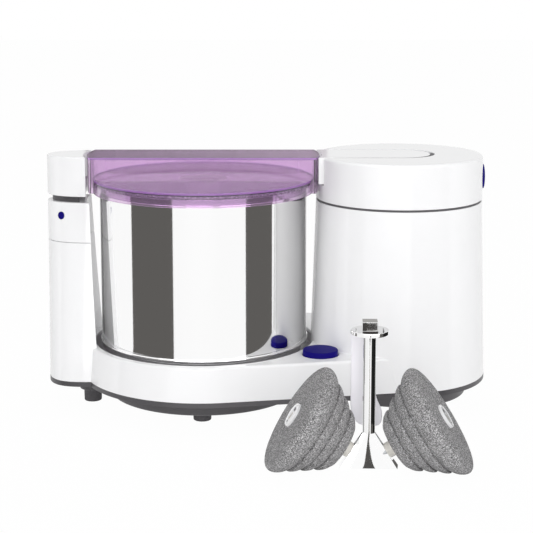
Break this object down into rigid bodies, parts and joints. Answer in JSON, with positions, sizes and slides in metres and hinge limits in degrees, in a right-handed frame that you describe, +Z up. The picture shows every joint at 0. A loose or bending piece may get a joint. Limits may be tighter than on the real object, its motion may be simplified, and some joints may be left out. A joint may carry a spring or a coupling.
{
  "type": "wet grinder",
  "caption": "Table-top wet grinder: white housing with drum platform and motor tower, steel drum, lilac see-through lid on a hinged arm, and a loose stone assembly beside it.",
  "frame": {"origin": "middle of the footprint of the machine and of the stone assembly in front of it, on the surface that they stand on", "axes": "+Z up, +X towards the motor tower, +Y towards the back of the machine, so a viewer in front looks along +Y"},
  "size_m": [0.4044, 0.351, 0.2338],
  "materials": {
    "white_plastic": "gloss",
    "dark_plastic": "satin",
    "blue_plastic": "gloss",
    "lilac_plastic": "gloss",
    "rubber": "matte",
    "mirror_steel": "polished",
    "plain_steel": "satin",
    "windings": "satin",
    "granite": "matte"
  },
  "bodies": {
    "housing": {"base_housing": "white_plastic", "bottom_tray": "dark_plastic", "drum_well": "dark_plastic", "column_shell": "white_plastic", "latch_neck": "dark_plastic", "pilot_lens": "blue_plastic", "tower_gasket": "rubber", "tower_cap": "white_plastic", "foot_left": "rubber", "foot_drum_front": "rubber", "foot_drum_rear": "rubber", "foot_tower_front": "rubber", "foot_tower_rear": "rubber", "switch_body": "dark_plastic", "power_button_spring": "plain_steel", "cord_gland": "rubber", "hinge_pin": "plain_steel", "bearing_housing": "plain_steel", "lower_bearing": "plain_steel", "upper_bearing": "plain_steel", "drive_belt": "rubber", "motor_plate": "plain_steel", "lower_motor_bracket": "plain_steel", "motor_stator": "windings", "upper_motor_bracket": "plain_steel", "run_capacitor": "white_plastic"},
    "drum": {"drum_shell": "mirror_steel", "stone_floor": "granite", "drum_hub": "dark_plastic", "guide_pin": "plain_steel", "driven_pulley": "dark_plastic", "drum_spindle": "plain_steel"},
    "rotor": {"motor_rotor": "plain_steel", "cooling_fan": "dark_plastic", "motor_pulley": "plain_steel"},
    "arm": {"arm_tail": "white_plastic", "arm_left_end": "white_plastic", "bridge_cover": "lilac_plastic", "lid_disc": "lilac_plastic", "lid_seal": "rubber", "shaft_socket": "white_plastic", "latch_hook": "dark_plastic"},
    "release_button": {"release_button": "blue_plastic"},
    "power_button": {"power_button": "blue_plastic"},
    "stone_carrier": {"carrier_stem": "mirror_steel", "carrier_disc": "mirror_steel", "drive_head": "mirror_steel", "wiper_blade": "white_plastic", "axle_left": "plain_steel", "axle_right": "plain_steel", "inner_bush_left": "white_plastic", "inner_bush_right": "white_plastic", "axle_retainer_left": "white_plastic", "axle_retainer_right": "white_plastic"},
    "stone_left": {"grinding_stone_left": "granite", "stone_hub_left": "white_plastic"},
    "stone_right": {"grinding_stone_right": "granite", "stone_hub_right": "white_plastic"}
  },
  "joints": [
    {"name": "drum_spin", "type": "hinge", "parent": "housing", "child": "drum", "pos_m": [-0.05875, 0.06353, 0.05], "axis": [0, 0, 1], "continuous": true},
    {"name": "rotor_spin", "type": "hinge", "parent": "housing", "child": "rotor", "pos_m": [0.12085, 0.06353, 0.09], "axis": [0, 0, 1], "continuous": true},
    {"name": "arm_hinge", "type": "hinge", "parent": "housing", "child": "arm", "pos_m": [0.12495, 0.06353, 0.229], "axis": [0, 1, 0], "range_deg": [0, 80]},
    {"name": "release_press", "type": "slide", "parent": "housing", "child": "release_button", "axis": [-1, 0, 0], "range_m": [0, 0.0025], "stiffness_N_per_m": 400, "springref_m": -0.002},
    {"name": "power_press", "type": "slide", "parent": "housing", "child": "power_button", "axis": [0, 0, -1], "range_m": [0, 0.002], "stiffness_N_per_m": 400, "springref_m": -0.002, "deforming": ["power_button_spring"]},
    {"name": "carrier_lift", "type": "slide", "parent": "housing", "child": "stone_carrier", "axis": [0, 0, 1], "range_m": [0, 0.15]},
    {"name": "stone_left_roll", "type": "hinge", "parent": "stone_carrier", "child": "stone_left", "pos_m": [0.06736, -0.12215, 0.01445], "axis": [-0.8357, -0.0379, 0.5479], "continuous": true},
    {"name": "stone_right_roll", "type": "hinge", "parent": "stone_carrier", "child": "stone_right", "pos_m": [0.09745, -0.1232, 0.01445], "axis": [0.831, -0.0962, 0.5479], "continuous": true}
  ],
  "couplings": [
    {"joint": "rotor_spin", "follows": "drum_spin", "ratio": 7.2}
  ]
}
